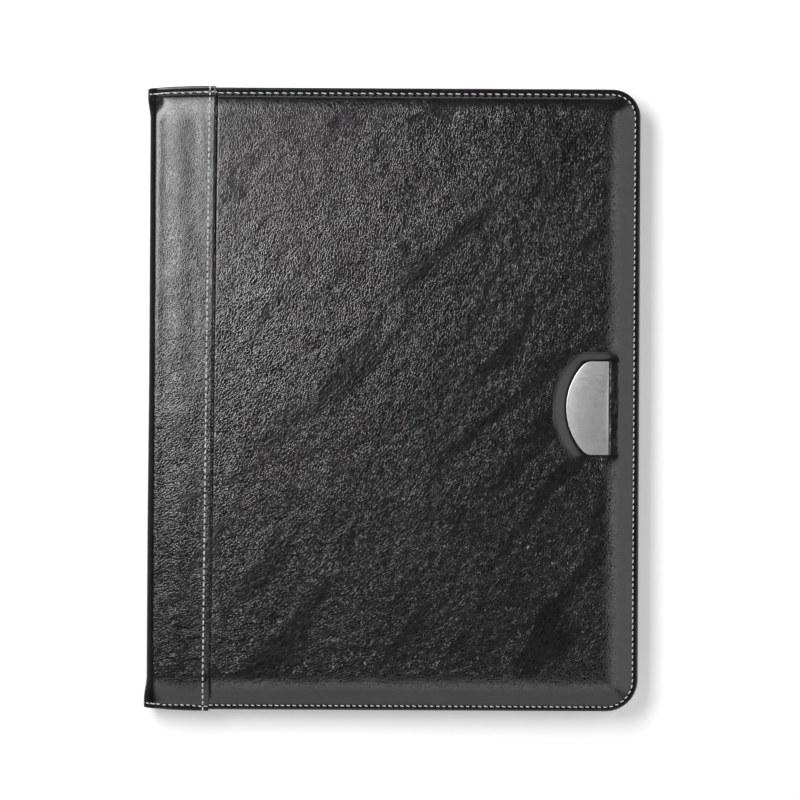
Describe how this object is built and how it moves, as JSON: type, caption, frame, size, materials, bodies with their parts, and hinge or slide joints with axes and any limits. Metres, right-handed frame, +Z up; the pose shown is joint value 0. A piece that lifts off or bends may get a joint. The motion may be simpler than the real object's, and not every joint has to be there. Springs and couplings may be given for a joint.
{
  "type": "padfolio",
  "caption": "Closed padded leather padfolio with a soft spine, stitched edges, a metal plate by the free edge and a writing pad inside.",
  "frame": {"origin": "on the surface that the back cover lies on, under the middle of the closed padfolio", "axes": "+Z up out of the front cover, +Y towards the head of the pad, +X from the spine to the free edge"},
  "size_m": [0.2516, 0.318, 0.0221],
  "materials": {
    "black_leather": "satin",
    "foam": "matte",
    "board": "matte",
    "lining": "matte",
    "thread": "matte",
    "steel": "satin",
    "adhesive": "matte",
    "paper": "matte",
    "card": "matte",
    "tape": "matte",
    "film": "gloss",
    "elastic": "matte"
  },
  "bodies": {
    "back_cover": {"back_leather": "black_leather", "back_spine_leather": "black_leather", "back_foam": "foam", "back_board": "board", "back_lining": "lining", "back_edge_thread": "thread", "back_seam_thread": "thread", "pad_holder": "lining"},
    "spine": {"spine_leather": "black_leather", "spine_board": "board", "spine_lining": "lining", "spine_head_thread": "thread", "spine_foot_thread": "thread"},
    "front_cover": {"front_leather": "black_leather", "front_spine_leather": "black_leather", "front_foam": "foam", "front_board": "board", "front_lining": "lining", "front_edge_thread": "thread", "front_seam_thread": "thread", "accent_plate": "steel", "plate_adhesive": "adhesive", "document_pocket": "lining", "card_pocket_lower": "lining", "card_pocket_upper": "lining", "card_pocket_inner": "lining", "id_window_frame": "lining", "id_window_film": "film", "pen_loop": "elastic"},
    "writing_pad": {"pad_card": "card", "pad_sheets": "paper", "pad_binding": "tape"}
  },
  "joints": [
    {"name": "spine_crease", "type": "hinge", "parent": "back_cover", "child": "spine", "pos_m": [-0.1215, 0, 0.0055], "axis": [0, -1, 0], "range_deg": [0, 90]},
    {"name": "cover_crease", "type": "hinge", "parent": "spine", "child": "front_cover", "pos_m": [-0.1215, 0, 0.0166], "axis": [0, -1, 0], "range_deg": [0, 90]},
    {"name": "pad_slide", "type": "slide", "parent": "back_cover", "child": "writing_pad", "axis": [0, 1, 0], "range_m": [0, 0.125]}
  ]
}
